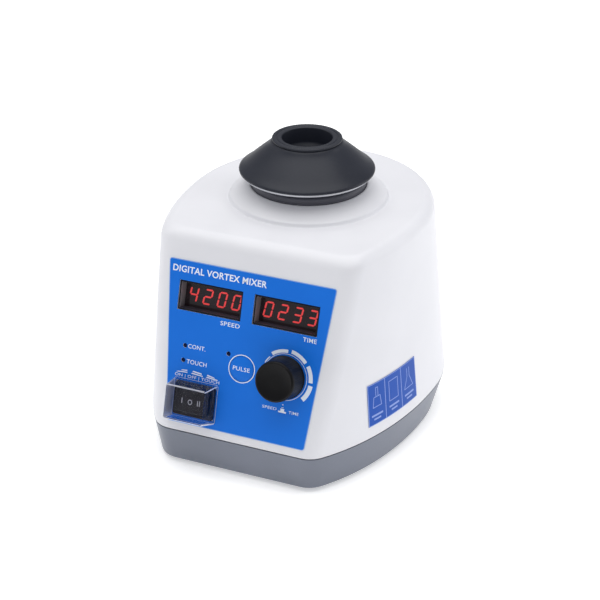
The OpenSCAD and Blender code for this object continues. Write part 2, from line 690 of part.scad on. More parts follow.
housing_shell();
base_pan();
front_label();
side_label();
speed_display();
time_display();
speed_digits();
time_digits();
indicator_leds();
control_board();
board_standoffs();
board_screws();
knob();
knob_spindle();
encoder_rotor();
encoder_body();
encoder_nut();
pulse_button();
pulse_switch();
rocker_frame();
rocker();
switch_cover();
cup();
head_plate();
head_hub();
head_bearing();
eccentric_hub();
counterweight();
splash_ring();
motor_can();
motor_shaft();
motor_bearings();
motor_plate();
guide_posts();
post_screws();
press_springs();
touch_switch();
ballast_plate();
rubber_feet();
base_screws();
power_inlet();
inlet_pins();
inlet_screws();
power_board();
transformer();
power_capacitor();
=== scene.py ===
import json
import math

import bmesh
import bpy
from mathutils import Matrix, Vector

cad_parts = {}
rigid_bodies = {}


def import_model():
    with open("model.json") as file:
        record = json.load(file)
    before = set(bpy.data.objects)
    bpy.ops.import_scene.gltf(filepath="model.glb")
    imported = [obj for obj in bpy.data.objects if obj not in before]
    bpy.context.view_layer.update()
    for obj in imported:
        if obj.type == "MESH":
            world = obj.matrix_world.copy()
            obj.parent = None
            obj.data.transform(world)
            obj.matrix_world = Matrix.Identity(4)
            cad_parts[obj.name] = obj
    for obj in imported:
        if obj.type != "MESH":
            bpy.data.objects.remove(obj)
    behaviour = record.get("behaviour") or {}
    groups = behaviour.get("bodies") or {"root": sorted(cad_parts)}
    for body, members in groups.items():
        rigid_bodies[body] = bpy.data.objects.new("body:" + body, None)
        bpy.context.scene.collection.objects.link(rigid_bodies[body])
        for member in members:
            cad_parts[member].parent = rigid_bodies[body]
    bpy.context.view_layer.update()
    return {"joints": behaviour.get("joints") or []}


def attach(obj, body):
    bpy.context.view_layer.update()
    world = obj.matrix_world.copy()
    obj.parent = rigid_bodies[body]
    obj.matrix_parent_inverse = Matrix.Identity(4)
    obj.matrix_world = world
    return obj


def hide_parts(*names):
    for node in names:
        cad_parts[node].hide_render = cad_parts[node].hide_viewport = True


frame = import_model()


# ------------------------------------------------------------------------------
# Studio: a plain pale table top, a large soft overhead light with a weaker fill from each side,
# and the camera at a three-quarter view from the front right, looking down on the mixer.
# ------------------------------------------------------------------------------
camera_data = bpy.data.cameras.new("studio_camera")
camera_data.sensor_width = 36
camera_data.lens = 107.0
camera_data.clip_start = 0.05
camera_data.clip_end = 20
camera = bpy.data.objects.new("studio_camera", camera_data)
camera.location = (0.33436, -0.76422, 0.49178)
camera.rotation_euler = (math.radians(90 - 27.147), 0, math.radians(23.552))
bpy.context.scene.collection.objects.link(camera)
bpy.context.scene.camera = camera

bpy.context.scene.view_settings.view_transform = "Standard"
bpy.context.scene.view_settings.look = "None"

world = bpy.data.worlds.new("studio_world")
world.use_nodes = True
backdrop = world.node_tree.nodes["Background"]
backdrop.inputs["Color"].default_value = (0.955, 0.965, 1.0, 1)
backdrop.inputs["Strength"].default_value = 0.37
bpy.context.scene.world = world


def soft_light(name, place, aim, size, watts, colour):
    data = bpy.data.lights.new(name, "AREA")
    data.shape = "RECTANGLE"
    data.size, data.size_y = size
    data.energy = watts
    data.color = colour
    lamp = bpy.data.objects.new(name, data)
    lamp.location = place
    lamp.rotation_euler = (Vector(aim) - Vector(place)).to_track_quat("-Z", "Y").to_euler()
    bpy.context.scene.collection.objects.link(lamp)


body_middle = (0, 0, 0.08)
soft_light("overhead_light", (-0.05, 0.05, 1.3), body_middle, (1.6, 1.6), 17.4, (1, 0.995, 0.985))
soft_light("left_fill", (-1.3, -0.3, 0.6), body_middle, (0.9, 0.9), 1.8, (1, 0.99, 0.97))
soft_light("right_fill", (1.2, 0.7, 0.5), body_middle, (0.8, 1.0), 3.7, (0.97, 0.98, 1))

bpy.ops.mesh.primitive_plane_add(size=12, location=(0, 0, 0))
table = bpy.context.object
table.name = "table_top"
table_paint = bpy.data.materials.new("table_white")
table_paint.use_nodes = True
table_shader = table_paint.node_tree.nodes["Principled BSDF"]
table_shader.inputs["Base Color"].default_value = (0.97, 0.97, 0.97, 1)
table_shader.inputs["Roughness"].default_value = 0.9
table_shader.inputs["Emission Color"].default_value = (1, 1, 1, 1)
table_shader.inputs["Emission Strength"].default_value = 0.40
table.data.materials.append(table_paint)


# ------------------------------------------------------------------------------
# Upper housing: one moulding in white ABS with a fine spark texture. Its plan is rounded at the
# sides and back and cut flat at the front, where the wall leans back; a raised collar on the roof
# carries the head's opening. It drops over the base and is screwed up from below.
# ------------------------------------------------------------------------------
# The panel's layout: x across it and s up its slope from the parting line, in metres.
window_places, window_s = (-0.0209, 0.0202), 0.0696
knob_x, knob_s, spindle_hole = 0.0235, 0.0392, 0.0036
key_x, key_s = 0.0002, 0.0386
rock_x, rock_s = -0.0235, 0.0174
lamp_places, lamp_hole = ((-0.0318, 0.0444), (-0.0320, 0.0368), (-0.0078, 0.0448)), 0.0012
wall_thick = 0.003

knob_joint = next(j for j in frame["joints"] if j["name"] == "knob_turn")
panel_out = Vector(knob_joint["axis"]).normalized()
panel_up = Vector((0, panel_out.z, -panel_out.y))
panel_foot = Vector(knob_joint["pos_m"]) - panel_up * knob_s - Vector((knob_x, 0, 0))
panel_place = Matrix((
    (1, panel_up.x, panel_out.x, panel_foot.x),
    (0, panel_up.y, panel_out.y, panel_foot.y),
    (0, panel_up.z, panel_out.z, panel_foot.z),
    (0, 0, 0, 1)))
head_axis = Vector(next(j for j in frame["joints"] if j["name"] == "head_follow")["pos_m"])
motor_axis = Vector(next(j for j in frame["joints"] if j["name"] == "motor_spin")["pos_m"])


def pick(mesh_object, test, kind="FACE"):
    """Leaves only the parts that pass the test selected, in edit mode."""
    bpy.ops.object.mode_set(mode="EDIT")
    bpy.ops.mesh.select_mode(type=kind)
    bpy.ops.mesh.select_all(action="DESELECT")
    shape = bmesh.from_edit_mesh(mesh_object.data)
    parts = {"FACE": shape.faces, "EDGE": shape.edges, "VERT": shape.verts}[kind]
    for part in parts:
        if test(part):
            part.select = True
    shape.select_flush_mode()
    bmesh.update_edit_mesh(mesh_object.data)


def start(name):
    """Names the primitive just added, and its mesh, and returns it."""
    piece = bpy.context.object
    piece.name = name
    piece.data.name = name
    return piece


def clear_selection():
    if bpy.context.object and bpy.context.object.mode != "OBJECT":
        bpy.ops.object.mode_set(mode="OBJECT")
    bpy.ops.object.select_all(action="DESELECT")


def hold(piece):
    clear_selection()
    bpy.context.view_layer.objects.active = piece
    piece.select_set(True)


def edit_all(piece):
    """Opens a piece in edit mode with everything selected."""
    hold(piece)
    bpy.ops.object.mode_set(mode="EDIT")
    bpy.ops.mesh.select_all(action="SELECT")


def close_edit():
    bpy.ops.object.mode_set(mode="OBJECT")


def apply_last(piece):
    """Applies the newest modifier."""
    hold(piece)
    bpy.ops.object.modifier_apply(modifier=piece.modifiers[-1].name)


def cut_away(piece, cutter, operation="DIFFERENCE"):
    trim = piece.modifiers.new("trim", "BOOLEAN")
    trim.operation = operation
    trim.solver = "EXACT"
    trim.object = cutter
    apply_last(piece)
    bpy.data.objects.remove(cutter)


def smooth(piece, degrees=30, even=True):
    """Smooth shading with crisp corners, weighted so that flat faces stay flat."""
    hold(piece)
    bpy.ops.object.shade_smooth_by_angle(angle=math.radians(degrees))
    if even:
        weigh = piece.modifiers.new("weigh", "WEIGHTED_NORMAL")
        weigh.keep_sharp = True
        apply_last(piece)


def outward(piece):
    edit_all(piece)
    bpy.ops.mesh.remove_doubles(threshold=0.000002)
    bpy.ops.mesh.normals_make_consistent(inside=False)
    close_edit()


def on_panel(piece):
    """Moves a piece drawn flat (x across, y up, z out) to its place on the leaning panel."""
    hold(piece)
    piece.matrix_world = panel_place
    bpy.ops.object.transform_apply(location=True, rotation=True, scale=True)


def turned(name, axis, outline, steps=96, closed=True):
    """A ring is added on the axis, then extruded and scaled to each point (radius, height)."""
    clear_selection()
    first = outline[0]
    bpy.ops.mesh.primitive_circle_add(vertices=steps, radius=max(first[0], 1e-5), fill_type="NOTHING",
                                      location=(axis[0], axis[1], first[1]))
    piece = start(name)
    bpy.ops.object.transform_apply(location=True, rotation=True, scale=True)
    bpy.ops.object.mode_set(mode="EDIT")
    bpy.ops.mesh.select_mode(type="VERT")
    bpy.ops.mesh.select_all(action="SELECT")
    before = first
    for radius, height in outline[1:] + ([first] if closed else []):
        bpy.ops.mesh.extrude_region_move(TRANSFORM_OT_translate={"value": (0, 0, height - before[1])})
        scale = max(radius, 1e-5) / max(before[0], 1e-5)
        bpy.ops.transform.resize(value=(scale, scale, 1), center_override=(axis[0], axis[1], height))
        before = (radius, height)
    bpy.ops.mesh.select_all(action="SELECT")
    meets_axis = min(outline[0][0], outline[-1][0]) < 1e-4
    bpy.ops.mesh.remove_doubles(threshold=0.00003 if meets_axis else 0.000004)
    bpy.ops.mesh.normals_make_consistent(inside=False)
    close_edit()
    return piece


def box_piece(name, low, high, round_by=0.0, rounds=3):
    """A block between two corners, its edges eased when a width is given."""
    clear_selection()
    low, high = Vector(low), Vector(high)
    bpy.ops.mesh.primitive_cube_add(size=1, location=(low + high) / 2)
    piece = start(name)
    piece.scale = high - low
    bpy.ops.object.transform_apply(location=True, rotation=True, scale=True)
    if round_by:
        ease = piece.modifiers.new("ease", "BEVEL")
        ease.width = round_by
        ease.segments = rounds
        apply_last(piece)
    return piece


def stands(edge):
    return abs(edge.verts[0].co.z - edge.verts[1].co.z) > 0.0001


def rim_above(height):
    """A test for the outline edges of a face that lies above a height."""
    return lambda e: (all(v.co.z > height for v in e.verts)
                      and any(abs(f.normal.z) < 0.5 for f in e.link_faces))


def panel_block(name, x, s, half_wide, half_long, low, high):
    """A block on the flat drawing of the panel, centred on (x, s)."""
    return box_piece(name, (x - half_wide, s - half_long, low), (x + half_wide, s + half_long, high))


def hole_punch(x, s, radius, depth):
    """A round cutter for the panel, from that depth to 10 mm in front."""
    return turned("hole_tool", (x, s), [(0, -depth), (radius, -depth), (radius, 0.01), (0, 0.01)], 48,
                  closed=False)


shift_y = head_axis.y
shell_low, shell_high = 0.0218, 0.119
edge_round = 0.0062


def body_ring(height, plan, front_y, rise, inset):
    """One level of the body: a flat front, two eased corners and an oval for the sides and back."""
    wide, front, back, middle = plan[0] - inset, plan[1] - inset, plan[2] - inset, plan[3]
    front_y += inset
    turn = math.asin((front_y + rise - middle) / front)
    side = Vector((wide * math.cos(turn), middle + front * math.sin(turn)))
    run = Vector((-wide * math.sin(turn), front * math.cos(turn)))
    corner = side - run * ((side.y - front_y) / run.y)
    begin = Vector((corner.x - (side - corner).length, front_y))
    half = []
    for i in range(15):
        k = i / 14
        half.append(begin * (1 - k) ** 2 + corner * 2 * k * (1 - k) + side * k ** 2)
    half += [Vector((wide * math.cos(turn * (1 - i / 26)), middle + front * math.sin(turn * (1 - i / 26))))
             for i in range(1, 27)]
    half += [Vector((wide * math.cos(math.pi / 2 * i / 36), middle + back * math.sin(math.pi / 2 * i / 36)))
             for i in range(1, 37)]
    whole = half + [Vector((-p.x, p.y)) for p in reversed(half[:-1])]
    return [(p.x, p.y + shift_y, height) for p in whole]


def between(low, high, k):
    return [a + (b - a) * k for a, b in zip(low, high)]


def swept_body(name, rings):
    """A ring is added and extruded from level to level, each new ring set to its own outline."""
    clear_selection()
    bpy.ops.mesh.primitive_circle_add(vertices=len(rings[0]), radius=0.05, fill_type="NOTHING")
    piece = start(name)
    count = len(rings[0])
    for i, place in enumerate(rings[0]):
        piece.data.vertices[i].co = place
    for level, ring in enumerate(rings[1:], 1):
        hold(piece)
        bpy.ops.object.mode_set(mode="EDIT")
        bpy.ops.mesh.select_mode(type="VERT")
        if level == 1:
            bpy.ops.mesh.select_all(action="SELECT")
        bpy.ops.mesh.extrude_region_move(TRANSFORM_OT_translate={"value": (0, 0, 0.0005)})
        close_edit()
        for i, place in enumerate(ring):
            piece.data.vertices[level * count + i].co = place
    hold(piece)
    bpy.ops.object.mode_set(mode="EDIT")
    bpy.ops.mesh.edge_face_add()
    bpy.ops.mesh.select_all(action="SELECT")
    bpy.ops.mesh.normals_make_consistent(inside=False)
    close_edit()
    return piece


def ease_edges(piece, test, width, rounds):
    pick(piece, test, "EDGE")
    bpy.ops.mesh.bevel(offset=width, segments=rounds, profile=0.5, affect="EDGES", offset_type="OFFSET",
                       clamp_overlap=True)
    close_edit()


part_height, part_front = 0.0215, -0.0927
plan_base, plan_part, plan_roof = ((0.0688, 0.10987, 0.0677, -0.0005), (0.0734, 0.11803, 0.07112, 0.0040),
                                   (0.0648, 0.10569, 0.07452, -0.0009))
panel_slope = math.tan(math.radians(16.74))


def housing_ring(height, inset=0.0):
    k = (height - part_height) / (shell_high - part_height)
    front_y = part_front + (height - part_height) * panel_slope
    return body_ring(height, between(plan_part, plan_roof, k), front_y, 0.0052 + 0.0030 * k, inset)


def hollow(piece, thick, side=-1):
    """Gives a skin its thickness, inwards unless told otherwise."""
    wall = piece.modifiers.new("wall", "SOLIDIFY")
    wall.thickness = thick
    wall.offset = side
    apply_last(piece)


edge_from = shell_high - edge_round
housing = swept_body("white_housing", [housing_ring(z) for z in (shell_low, 0.05, 0.08, edge_from)] + [
    housing_ring(edge_from + edge_round * math.sin(math.radians(a)),
                 edge_round * (1 - math.cos(math.radians(a)))) for a in range(9, 91, 9)])
hollow(housing, wall_thick)
for point in housing.data.vertices:
    point.co.z = max(point.co.z, shell_low)
roof, opening = shell_high, 0.0303
collar = turned("collar_ring", motor_axis, [
    (opening, roof - 0.0025), (0.0424, roof - 0.0025), (0.0424, roof - 0.0004), (0.0416, roof + 0.0001),
    (0.0411, roof + 0.0006), (0.0409, roof + 0.0012), (0.0405, roof + 0.0018), (0.0397, roof + 0.0022),
    (0.0386, roof + 0.0027), (0.0345, roof + 0.0049), (0.0320, roof + 0.0063), (0.0309, roof + 0.0070),
    (opening, roof + 0.0070)], 128)
cut_away(housing, collar, "UNION")
cut_away(housing, turned("head_opening", motor_axis, [
    (0.0, 0.10), (opening, 0.10), (opening, 0.14), (0.0, 0.14)], 128, closed=False))
lamp_holes = tuple((x, s, lamp_hole) for x, s in lamp_places)


def panel_cut(piece, tool):
    on_panel(tool)
    cut_away(piece, tool)


for window_x in window_places:
    panel_cut(housing, panel_block("window_tool", window_x, window_s, 0.0175, 0.00765, -0.02, 0.01))
panel_cut(housing, panel_block("switch_tool", rock_x, rock_s, 0.0098, 0.0068, -0.02, 0.01))
for hole_x, hole_s, hole_r in ((knob_x, knob_s, spindle_hole), (key_x, key_s, 0.00675)) + lamp_holes:
    panel_cut(housing, hole_punch(hole_x, hole_s, hole_r, 0.02))
pad_back = shift_y + 0.07572
pad = box_piece("inlet_pad", (-0.026, pad_back - 0.006, 0.031), (0.026, pad_back, 0.061))
ease_edges(pad, lambda e: all(v.co.y > pad_back - 0.0001 for v in e.verts), 0.0008, 4)
cut_away(housing, pad, "UNION")
cut_away(housing, box_piece("inlet_tool", (-0.0137, pad_back - 0.02, 0.036),
                            (0.0137, pad_back + 0.01, 0.056)))
ear_places = (-0.020, 0.020)
for ear_x in ear_places:
    cut_away(housing, box_piece("screw_tool", (ear_x - 0.0015, pad_back - 0.012, 0.0445),
                                (ear_x + 0.0015, pad_back + 0.002, 0.0475)))
smooth(housing, 32)

grain = bpy.data.node_groups.new("moulded_surface", "ShaderNodeTree")
for title, usual in (("Grain", 900), ("Depth", 0.2), ("Smooth", 0.4), ("Rough", 0.5)):
    grain.interface.new_socket(title, in_out="INPUT", socket_type="NodeSocketFloat").default_value = usual
for title, kind in (("Mottle", "Float"), ("Roughness", "Float"), ("Normal", "Vector")):
    grain.interface.new_socket(title, in_out="OUTPUT", socket_type="NodeSocket" + kind)
made, tie = grain.nodes.new, grain.links.new
came, went = made("NodeGroupInput"), made("NodeGroupOutput")
where = made("ShaderNodeTexCoord")
fine = made("ShaderNodeTexNoise")
fine.inputs["Detail"].default_value = 3
tie(where.outputs["Object"], fine.inputs["Vector"])
tie(came.outputs["Grain"], fine.inputs["Scale"])
broad = made("ShaderNodeTexNoise")
broad.inputs["Scale"].default_value = 24
broad.inputs["Detail"].default_value = 5
tie(where.outputs["Object"], broad.inputs["Vector"])
rub = made("ShaderNodeMapRange")
tie(broad.outputs["Fac"], rub.inputs["Value"])
rub.inputs["From Min"].default_value, rub.inputs["From Max"].default_value = 0.3, 0.7
tie(came.outputs["Smooth"], rub.inputs["To Min"])
tie(came.outputs["Rough"], rub.inputs["To Max"])
press = made("ShaderNodeBump")
press.inputs["Distance"].default_value = 0.0002
tie(came.outputs["Depth"], press.inputs["Strength"])
tie(fine.outputs["Fac"], press.inputs["Height"])
spread = made("ShaderNodeMapRange")
tie(broad.outputs["Fac"], spread.inputs["Value"])
spread.inputs["From Min"].default_value, spread.inputs["From Max"].default_value = 0.35, 0.65
tie(spread.outputs["Result"], went.inputs["Mottle"])
tie(rub.outputs["Result"], went.inputs["Roughness"])
tie(press.outputs["Normal"], went.inputs["Normal"])


def finish(name, dark, light, smooth_to, rough_to, grain_scale, depth, **plain):
    """A solid finish: two close colours mottled together, with the moulded surface's grain."""
    paint = bpy.data.materials.new(name)
    paint.use_nodes = True
    nodes, links = paint.node_tree.nodes, paint.node_tree.links
    shader = nodes["Principled BSDF"]
    surface = nodes.new("ShaderNodeGroup")
    surface.node_tree = grain
    surface.inputs["Grain"].default_value = grain_scale
    surface.inputs["Depth"].default_value = depth
    surface.inputs["Smooth"].default_value = smooth_to
    surface.inputs["Rough"].default_value = rough_to
    blend = nodes.new("ShaderNodeMix")
    blend.data_type = "RGBA"
    blend.inputs["A"].default_value = (*dark, 1)
    blend.inputs["B"].default_value = (*light, 1)
    links.new(surface.outputs["Mottle"], blend.inputs["Factor"])
    links.new(blend.outputs["Result"], shader.inputs["Base Color"])
    links.new(surface.outputs["Roughness"], shader.inputs["Roughness"])
    links.new(surface.outputs["Normal"], shader.inputs["Normal"])
    for socket, value in plain.items():
        shader.inputs[socket.replace("_", " ")].default_value = value
    return paint


def coat(piece, paint):
    piece.data.materials.clear()
    piece.data.materials.append(paint)


white_abs = finish("white_abs", (0.735, 0.738, 0.775), (0.765, 0.768, 0.805), 0.36, 0.44, 1500, 0.12)
coat(housing, white_abs)
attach(housing, "chassis")
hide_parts("housing_shell")


# ------------------------------------------------------------------------------
# Base pan: a die casting in grey satin paint that narrows towards the table. The housing sits on
# its rim with a thin dark joint all round.
# ------------------------------------------------------------------------------
pan_low, pan_high = 0.002, 0.0212
pan_front = part_front * 0.963


def pan_ring(height, inset=0.0):
    k = (height - pan_low) / (part_height - pan_low)
    front_y = pan_front + (part_front - pan_front) * k
    return body_ring(height, between(plan_base, plan_part, k), front_y, 0.0052, inset)


pan_round = 0.0014
pan = swept_body("grey_base_pan", [pan_ring(pan_high), pan_ring(0.012), pan_ring(pan_low + pan_round)] + [
    pan_ring(pan_low + pan_round * (1 - math.sin(math.radians(a))),
             pan_round * (1 - math.cos(math.radians(a)))) for a in range(18, 91, 18)])
hollow(pan, wall_thick)
for point in pan.data.vertices:
    point.co.z = min(point.co.z, pan_high)
smooth(pan, 32)
grey_paint = finish("grey_paint", (0.125, 0.142, 0.185), (0.145, 0.162, 0.210), 0.28, 0.40, 700, 0.25,
                    Specular_IOR_Level=0.7)
coat(pan, grey_paint)
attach(pan, "chassis")
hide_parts("base_pan")

# ------------------------------------------------------------------------------
# Cup head: one piece of dark grey rubber moulded over an aluminium plate. The cone runs up from a
# rolled lip to a raised ring whose top has a groove round it, and a tube is pushed into the middle.
# ------------------------------------------------------------------------------
cup = turned("rubber_cup", head_axis, [
    (0.0, 0.1340), (0.0339, 0.1340), (0.0345, 0.13412), (0.0349, 0.1344), (0.0350, 0.1348),
    (0.0350, 0.1351), (0.0348, 0.1355), (0.0343, 0.1359), (0.0338, 0.1363), (0.0327, 0.1371),
    (0.0314, 0.1381), (0.0298, 0.1395), (0.0281, 0.1410), (0.0258, 0.1430), (0.0234, 0.1450),
    (0.0210, 0.1470), (0.0198, 0.1481), (0.0190, 0.1490), (0.0185, 0.1497), (0.0180, 0.1502),
    (0.0176, 0.1504), (0.01735, 0.1505), (0.01735, 0.1507), (0.0176, 0.1508), (0.0179, 0.1509),
    (0.0180, 0.1511), (0.0180, 0.1514), (0.0179, 0.1516), (0.0177, 0.15175), (0.0174, 0.1518),
    (0.0164, 0.1518), (0.0162, 0.15174), (0.0160, 0.15155), (0.0158, 0.15145), (0.0155, 0.15145),
    (0.0153, 0.15155), (0.0151, 0.15174), (0.0149, 0.1518), (0.0138, 0.1518), (0.0134, 0.15172),
    (0.0131, 0.1515), (0.0130, 0.1512), (0.0130, 0.1440), (0.0129, 0.1435), (0.0125, 0.1429),
    (0.0105, 0.1404), (0.0086, 0.1382), (0.0076, 0.1376), (0.0060, 0.1374), (0.0, 0.1373)], 160,
    closed=False)
smooth(cup, 40, even=False)
cup_rubber = finish("cup_rubber", (0.0118, 0.0140, 0.0225), (0.0158, 0.0185, 0.0290), 0.33, 0.46, 1100, 0.22,
                    Specular_IOR_Level=0.30)
coat(cup, cup_rubber)
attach(cup, "head")
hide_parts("cup")

# Plate under the cup: turned aluminium, its rim left bright between the rubber and the dark ring.
rim = turned("cup_plate", head_axis, [
    (0.0, 0.13262), (0.0331, 0.13262), (0.0335, 0.1328), (0.0336, 0.1331), (0.0336, 0.1336), (0.0335, 0.1339),
    (0.0332, 0.1340), (0.0, 0.1340)], 144, closed=False)
smooth(rim, 30, even=False)
bright_metal = finish("bright_aluminium", (0.42, 0.43, 0.46), (0.50, 0.51, 0.54), 0.26, 0.40, 2400, 0.1,
                      Metallic=1.0)
coat(rim, bright_metal)
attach(rim, "head")
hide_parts("head_plate")


# ------------------------------------------------------------------------------
# Splash ring: a dark grey rubber gaiter that fills the collar's opening and turns inwards under the
# cup. Its flange is clamped inside the roof, and its top edge is rolled.
# ------------------------------------------------------------------------------
gaiter = turned("splash_gaiter", motor_axis, [
    (0.0300, 0.1157), (0.0330, 0.1157), (0.0330, 0.1140), (0.0278, 0.1140), (0.0278, 0.1276),
    (0.0165, 0.1276), (0.0165, 0.1289), (0.0167, 0.1293), (0.0171, 0.1296), (0.0230, 0.1296),
    (0.0250, 0.1293), (0.0262, 0.1293), (0.0276, 0.1296), (0.0289, 0.1296), (0.0294, 0.12945),
    (0.0298, 0.1291), (0.0300, 0.1286), (0.0300, 0.1272), (0.02985, 0.1270), (0.0300, 0.1268)], 144)
smooth(gaiter, 35, even=False)
gaiter_rubber = finish("gaiter_rubber", (0.058, 0.060, 0.078), (0.072, 0.074, 0.094), 0.42, 0.6, 1300, 0.2)
coat(gaiter, gaiter_rubber)
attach(gaiter, "chassis")
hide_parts("splash_ring")


# ------------------------------------------------------------------------------
# Feet: four soft rubber feet pushed through the base. One is turned and the others are copies.
# ------------------------------------------------------------------------------
foot = turned("rubber_foot", Vector((0.042, -0.060 + shift_y)), [
    (0.0, 0.0006), (0.0052, 0.0006), (0.0056, 0.0001), (0.0061, 0.0), (0.0070, 0.0), (0.0076, 0.0002),
    (0.0080, 0.0007), (0.0080, 0.00198), (0.0030, 0.00198), (0.0030, 0.0051), (0.0042, 0.0051),
    (0.0024, 0.0080), (0.0, 0.0080)], 64, closed=False)
smooth(foot, 35, even=False)
foot_rubber = finish("foot_rubber", (0.018, 0.018, 0.020), (0.026, 0.026, 0.028), 0.6, 0.75, 1200, 0.3)
coat(foot, foot_rubber)
feet = [foot]
for foot_x, foot_y in ((-0.042, -0.060), (0.040, 0.040), (-0.040, 0.040)):
    hold(foot)
    bpy.ops.object.duplicate(linked=False)
    copy = bpy.context.object
    edit_all(copy)
    bpy.ops.transform.translate(value=(foot_x - 0.042, foot_y + 0.060, 0))
    close_edit()
    feet.append(copy)
for each in feet:
    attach(each, "chassis")
    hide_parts("rubber_feet")


# ------------------------------------------------------------------------------
# Panel overlay: printed polyester stuck to the leaning front, with a lighter cut edge. It is drawn
# flat, its corners rounded, pierced for the windows, the switch, the key and the lamps, then set up.
# ------------------------------------------------------------------------------
overlay = box_piece("panel_overlay", (-0.5, 0.0045, 0.00002), (0.5, 0.0873, 0.0003))
for point in overlay.data.vertices:
    point.co.x = math.copysign(0.0379 if point.co.y < 0.04 else 0.0451, point.co.x)
ease_edges(overlay, stands, 0.0014, 6)
pick(overlay, lambda f: f.normal.z > 0.9)
bpy.ops.mesh.inset(thickness=0.00035, depth=0)
close_edit()
blue_print = finish("blue_print", (0.0035, 0.148, 0.660), (0.0045, 0.160, 0.700), 0.40, 0.50, 1800, 0.05,
                    Specular_IOR_Level=0.2)
cut_edge = finish("overlay_edge", (0.12, 0.30, 0.72), (0.15, 0.34, 0.76), 0.4, 0.5, 1800, 0.05)
overlay.data.materials.append(blue_print)
overlay.data.materials.append(cut_edge)
for face in overlay.data.polygons:
    face.material_index = 0 if face.normal.z > 0.9 and face.area > 0.001 else 1
for window_x in window_places:
    cut_away(overlay, panel_block("window_tool", window_x, window_s, 0.01745, 0.0076, -0.01, 0.01))
cut_away(overlay, panel_block("switch_tool", rock_x, rock_s, 0.0111, 0.0086, -0.01, 0.01))
for hole_x, hole_s, hole_r in ((knob_x, knob_s, spindle_hole), (key_x, key_s, 0.00655)) + lamp_holes:
    cut_away(overlay, hole_punch(hole_x, hole_s, hole_r, 0.01))
on_panel(overlay)
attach(overlay, "chassis")
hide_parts("front_label")

white_ink = finish("white_ink", (0.74, 0.80, 0.92), (0.80, 0.85, 0.95), 0.5, 0.6, 2000, 0.05)
ink_n = 0.00034


def ink(piece):
    """Welds flat print, which lies just above the overlay, and gives it the white ink."""
    edit_all(piece)
    bpy.ops.mesh.remove_doubles(threshold=0.000001)
    close_edit()
    coat(piece, white_ink)
    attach(piece, "chassis")
    return piece


def lettering(words, left, right, low, high, n=ink_n, weight=0.0):
    """Functional words, set in the stock sans face and fitted to a box on the panel."""
    clear_selection()
    bpy.ops.object.text_add(location=(0, 0, 0))
    line = bpy.context.object
    line.name = "print_" + "".join(letter for letter in words.lower() if letter.isalpha())
    line.data.body = words
    line.data.size = 1
    line.data.offset = weight
    line.data.resolution_u = 4
    line.data.space_character = 1.06
    bpy.ops.object.convert(target="MESH")
    line = bpy.context.object
    wide, tall = [v.co.x for v in line.data.vertices], [v.co.y for v in line.data.vertices]
    x0, x1, y0, y1 = min(wide), max(wide), min(tall), max(tall)
    for point in line.data.vertices:
        point.co.x = left + (point.co.x - x0) / (x1 - x0) * (right - left)
        point.co.y = low + (point.co.y - y0) / (y1 - y0) * (high - low)
        point.co.z = n
    on_panel(line)
    return ink(line)


lettering("DIGITAL VORTEX MIXER", -0.0427, 0.0086, 0.0811, 0.0845, weight=0.022)
lettering("SPEED", -0.0139, -0.0033, 0.0584, 0.0606, weight=0.008)
lettering("TIME", 0.0307, 0.0379, 0.0587, 0.0609, weight=0.006)
lettering("CONT.", -0.0300, -0.0204, 0.0434, 0.0456, weight=0.006)
lettering("TOUCH", -0.0300, -0.0189, 0.0355, 0.0377, weight=0.006)
lettering("ON | OFF | TOUCH", -0.0357, -0.0110, 0.0278, 0.0298, weight=0.004)
lettering("SPEED", 0.0134, 0.0211, 0.0217, 0.0231, weight=0.002)
lettering("TIME", 0.0277, 0.0330, 0.0214, 0.0228, weight=0.002)


def arc_print(name, x, s, inner, outer, from_angle, to_angle, steps=28):
    """A printed arc: a short radial edge is swept round its centre."""
    clear_selection()
    a = math.radians(from_angle)
    bpy.ops.mesh.primitive_plane_add(size=1, location=(0, 0, 0))
    piece = start(name)
    bpy.ops.object.mode_set(mode="EDIT")
    bpy.ops.mesh.select_all(action="SELECT")
    bpy.ops.mesh.delete(type="ONLY_FACE")
    shape = bmesh.from_edit_mesh(piece.data)
    shape.verts.ensure_lookup_table()
    for vert in list(shape.verts)[2:]:
        shape.verts.remove(vert)
    shape.verts.ensure_lookup_table()
    for vert, radius in zip(shape.verts, (inner, outer)):
        vert.co = (x + radius * math.cos(a), s + radius * math.sin(a), ink_n)
    if not shape.edges:
        shape.edges.new(shape.verts)
    for vert in shape.verts:
        vert.select = True
    shape.select_flush_mode()
    for edge in shape.edges:
        edge.select = True
    bmesh.update_edit_mesh(piece.data)
    bpy.ops.mesh.spin(steps=steps, angle=math.radians(from_angle - to_angle), center=(x, s, ink_n),
                      axis=(0, 0, 1))
    bpy.ops.mesh.select_all(action="SELECT")
    bpy.ops.mesh.remove_doubles(threshold=0.000001)
    bpy.ops.mesh.normals_make_consistent(inside=False)
    close_edit()
    if piece.data.polygons[0].normal.z < 0:
        edit_all(piece)
        bpy.ops.mesh.flip_normals()
        close_edit()
    on_panel(piece)
    return ink(piece)


for arc_number, (inner, outer, first, last) in enumerate((
        (0.0122, 0.0127, 155, 136), (0.0122, 0.0139, 128, 89), (0.0125, 0.0144, 81, 42),
        (0.0127, 0.0148, 34, -1), (0.0129, 0.0152, -7, -42))):
    arc_print("dial_arc_%d" % (arc_number + 1), knob_x, knob_s, inner, outer, first, last)
arc_print("pulse_ring", key_x, key_s, 0.00678, 0.00722, 0, 360, steps=96)
arc_print("knob_ring", knob_x, knob_s, 0.01155, 0.0118, 0, 360, steps=96)


def drawn(name, shape):
    """Makes a piece of a finished bmesh."""
    data = bpy.data.meshes.new(name)
    shape.to_mesh(data)
    shape.free()
    piece = bpy.data.objects.new(name, data)
    bpy.context.scene.collection.objects.link(piece)
    return piece


